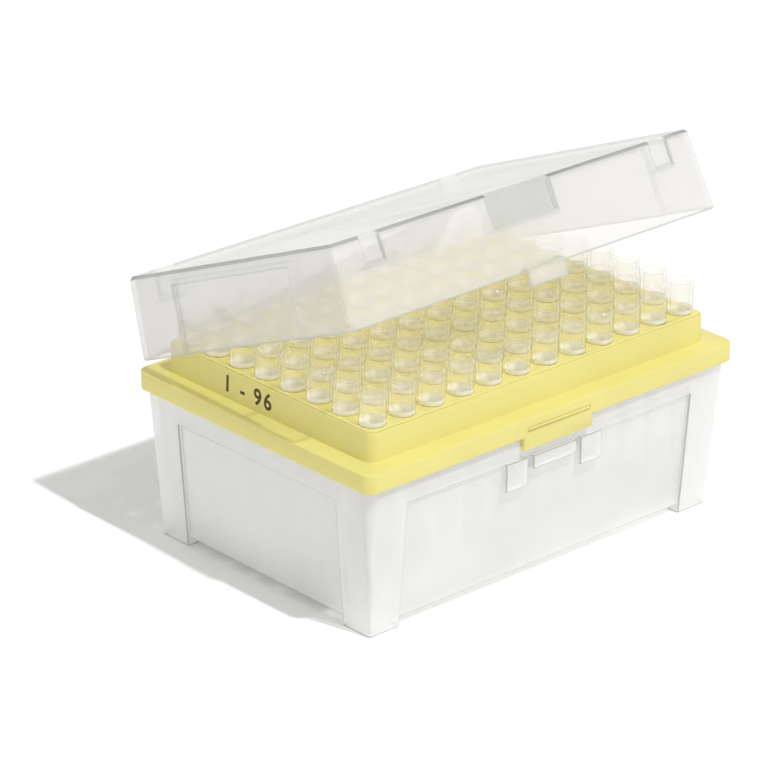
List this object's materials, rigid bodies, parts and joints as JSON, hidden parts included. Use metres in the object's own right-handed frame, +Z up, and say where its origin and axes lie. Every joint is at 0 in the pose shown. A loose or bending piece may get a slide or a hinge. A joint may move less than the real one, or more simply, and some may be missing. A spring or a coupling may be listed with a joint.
{
  "type": "box of pipette tips",
  "caption": "Rectangular rack box on corner feet with a lift-out tray of pipette tips in a regular grid, under a hinged clear lid standing part open.",
  "frame": {"origin": "on the surface it stands on, under the middle of the outline from the latch bead to the hinge ears", "axes": "+X along the hinge, +Y from the latch to the hinge, +Z up"},
  "size_m": [0.1184, 0.0896, 0.0934],
  "materials": {
    "base_plastic": "frosted natural polypropylene",
    "tray_plastic": "satin yellow polypropylene",
    "tip_plastic": "translucent natural polypropylene",
    "lid_plastic": "clear glossy plastic"
  },
  "bodies": {
    "box": {"base_box": "base_plastic", "tip_tray": "tray_plastic", "tip_column_1": "tip_plastic", "tip_column_2": "tip_plastic", "tip_column_3": "tip_plastic", "tip_column_4": "tip_plastic", "tip_column_5": "tip_plastic", "tip_column_6": "tip_plastic", "tip_column_7": "tip_plastic", "tip_column_8": "tip_plastic", "tip_column_9": "tip_plastic", "tip_column_10": "tip_plastic", "tip_column_11": "tip_plastic", "tip_column_12": "tip_plastic"},
    "lid": {"lid": "lid_plastic"}
  },
  "joints": [
    {"name": "lid_hinge", "type": "hinge", "parent": "box", "child": "lid", "pos_m": [0, 0.0416, 0.0442], "axis": [-1, 0, 0], "range_deg": [-22.5, 79.5]}
  ]
}
